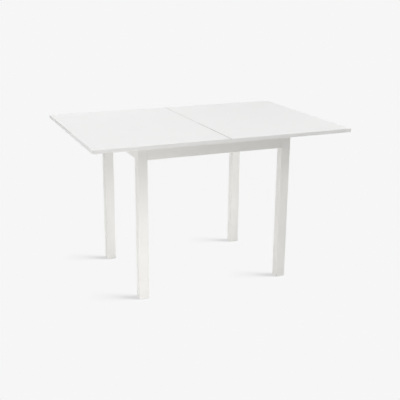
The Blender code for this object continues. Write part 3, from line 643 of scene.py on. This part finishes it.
PIVOT_RADIUS = 0.006
PIVOT_HEAD_RADIUS = 0.0105
PIVOT_HEAD_DEPTH = 0.0028
PIVOT_THREAD = 0.024
PIVOT_PITCH = 0.00175
PIVOT_TIP = 0.001
low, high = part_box("pivot_bolt")
middle = (low + high) / 2
length = high.z - low.z
data = bmesh.new()
thread = length - PIVOT_THREAD
plain = ((0.0, PIVOT_HEAD_RADIUS), (PIVOT_HEAD_DEPTH, PIVOT_RADIUS), (thread - THREAD_LEAD, PIVOT_RADIUS))
threaded_bolt(data, plain, PIVOT_RADIUS, thread, length - PIVOT_TIP, PIVOT_PITCH, PIVOT_TIP)
data.transform(aim(Vector((middle.x, middle.y, high.z)), (0, 0, -1)))
bolt = make_piece("threaded_pivot_bolt", data, MATERIALS["zinc_steel"], "swivel_leaf")
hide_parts("pivot_bolt")

# Nylon ring in the lock nut's collar: radius, and height over the nut's lower face
RING_STEPS = 32
RING_PROFILE = (
    (0.0062, 0.0010),
    (0.0062, -0.0001),
    (0.0065, -0.0003),
    (0.0071, -0.0003),
    (0.0074, -0.0001),
    (0.0074, 0.0010),
)
low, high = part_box("lock_nut")
data = bmesh.new()
rings = [add_ring(data, radius, low.z + rise, RING_STEPS) for radius, rise in RING_PROFILE]
for first, second in zip(rings, rings[1:] + rings[:1]):
    add_band(data, first, second)
data.transform(Matrix.Translation(((low.x + high.x) / 2, (low.y + high.y) / 2, 0.0)))
make_piece("lock_nut_ring", data, MATERIALS["nylon"], "swivel_leaf")


def larger(tree, first, second):
    """The larger of two values."""
    made = tree.nodes.new("ShaderNodeMath")
    made.operation = "MAXIMUM"
    tree.links.new(first, made.inputs[0])
    tree.links.new(second, made.inputs[1])
    return made.outputs[0]


def looks_past(tree):
    """A factor that is 1 for what the camera, a gloss or glass sees, and 0 for light."""
    paths = tree.nodes.new("ShaderNodeLightPath").outputs
    mirrored = larger(tree, paths["Is Glossy Ray"], paths["Is Transmission Ray"])
    return larger(tree, paths["Is Camera Ray"], mirrored)


def mix_shaders(tree, factor, first, second):
    """The first shader where the factor is 0, and the second where it is 1."""
    pick = tree.nodes.new("ShaderNodeMixShader")
    tree.links.new(factor, pick.inputs[0])
    tree.links.new(first, pick.inputs[1])
    tree.links.new(second, pick.inputs[2])
    return pick.outputs[0]


def make_world():
    """A plain pale background for what looks past the object, and no light on it."""
    world = bpy.data.worlds.new("studio")
    world.use_nodes = True
    tree = world.node_tree
    tree.nodes.clear()
    light = tree.nodes.new("ShaderNodeBackground")
    light.inputs["Color"].default_value = (1.0, 1.0, 1.0, 1.0)
    light.inputs["Strength"].default_value = WORLD_LIGHT
    shown = tree.nodes.new("ShaderNodeBackground")
    shown.inputs["Color"].default_value = (BACKGROUND, BACKGROUND, BACKGROUND, 1.0)
    shown.inputs["Strength"].default_value = 1.0
    out = tree.nodes.new("ShaderNodeOutputWorld")
    both = mix_shaders(tree, looks_past(tree), light.outputs[0], shown.outputs[0])
    tree.links.new(both, out.inputs["Surface"])
    SCENE.world = world


def half_sky(tree, turn):
    """How open the half of the sky is that lies towards the light, turned aside."""
    toward = Matrix.Rotation(turn, 3, "Z") @ Vector(SHADOW_FROM).normalized()
    toward = (toward + Vector((0.0, 0.0, SHADOW_TILT))).normalized()
    side = tree.nodes.new("ShaderNodeCombineXYZ")
    for socket, value in zip(side.inputs, toward):
        socket.default_value = value
    sky = tree.nodes.new("ShaderNodeAmbientOcclusion")
    sky.samples = SHADOW_SAMPLES
    sky.inputs["Distance"].default_value = SHADOW_REACH
    tree.links.new(side.outputs[0], sky.inputs["Normal"])
    return sky.outputs["AO"]


def make_floor():
    """A white floor. What looks at it sees the pale background, with the object's shadow in it."""
    material = bpy.data.materials.new("floor_white")
    material.use_nodes = True
    tree = material.node_tree
    tree.nodes.clear()
    lit = tree.nodes.new("ShaderNodeBsdfDiffuse")
    lit.inputs["Color"].default_value = (FLOOR_COLOUR, FLOOR_COLOUR, FLOOR_COLOUR, 1.0)
    skies = [half_sky(tree, turn) for turn in SHADOW_TURNS]
    wedge = skies[0]
    for sky in skies[1:]:
        wedge = larger(tree, wedge, sky)
    shade = tree.nodes.new("ShaderNodeMapRange")
    shade.interpolation_type = "SMOOTHSTEP"
    tree.links.new(wedge, shade.inputs["Value"])
    shade.inputs["From Min"].default_value = SHADOW_DARK
    shade.inputs["From Max"].default_value = SHADOW_CLEAR
    shade.inputs["To Min"].default_value = 1.0 - SHADOW_DEPTH
    shade.inputs["To Max"].default_value = 1.0
    glow = tree.nodes.new("ShaderNodeEmission")
    glow.inputs["Color"].default_value = (BACKGROUND, BACKGROUND, BACKGROUND, 1.0)
    tree.links.new(shade.outputs["Result"], glow.inputs["Strength"])
    above = mix_shaders(tree, looks_past(tree), lit.outputs[0], glow.outputs[0])
    clear = tree.nodes.new("ShaderNodeBsdfTransparent")
    geometry = tree.nodes.new("ShaderNodeNewGeometry")
    whole = mix_shaders(tree, geometry.outputs["Backfacing"], above, clear.outputs[0])
    out = tree.nodes.new("ShaderNodeOutputMaterial")
    tree.links.new(whole, out.inputs["Surface"])
    data = bmesh.new()
    bmesh.ops.create_grid(data, x_segments=1, y_segments=1, size=FLOOR_SIDE / 2)
    mesh = bpy.data.meshes.new("floor")
    data.to_mesh(mesh)
    data.free()
    mesh.materials.append(material)
    floor = bpy.data.objects.new("floor", mesh)
    SCENE.collection.objects.link(floor)


def make_lights():
    """Soft lamps that face the table and don't show themselves."""
    for name, place, faced, side, power in LIGHTS:
        data = bpy.data.lights.new(name, "AREA")
        data.shape = "SQUARE"
        data.size = side
        data.energy = power
        lamp = bpy.data.objects.new(name, data)
        lamp.location = place
        lamp.rotation_euler = (Vector(place) - Vector(faced)).to_track_quat("Z", "Y").to_euler()
        lamp.visible_camera = False
        lamp.visible_glossy = False
        SCENE.collection.objects.link(lamp)


make_world()
make_floor()
make_lights()
SCENE.view_settings.view_transform = "Standard"
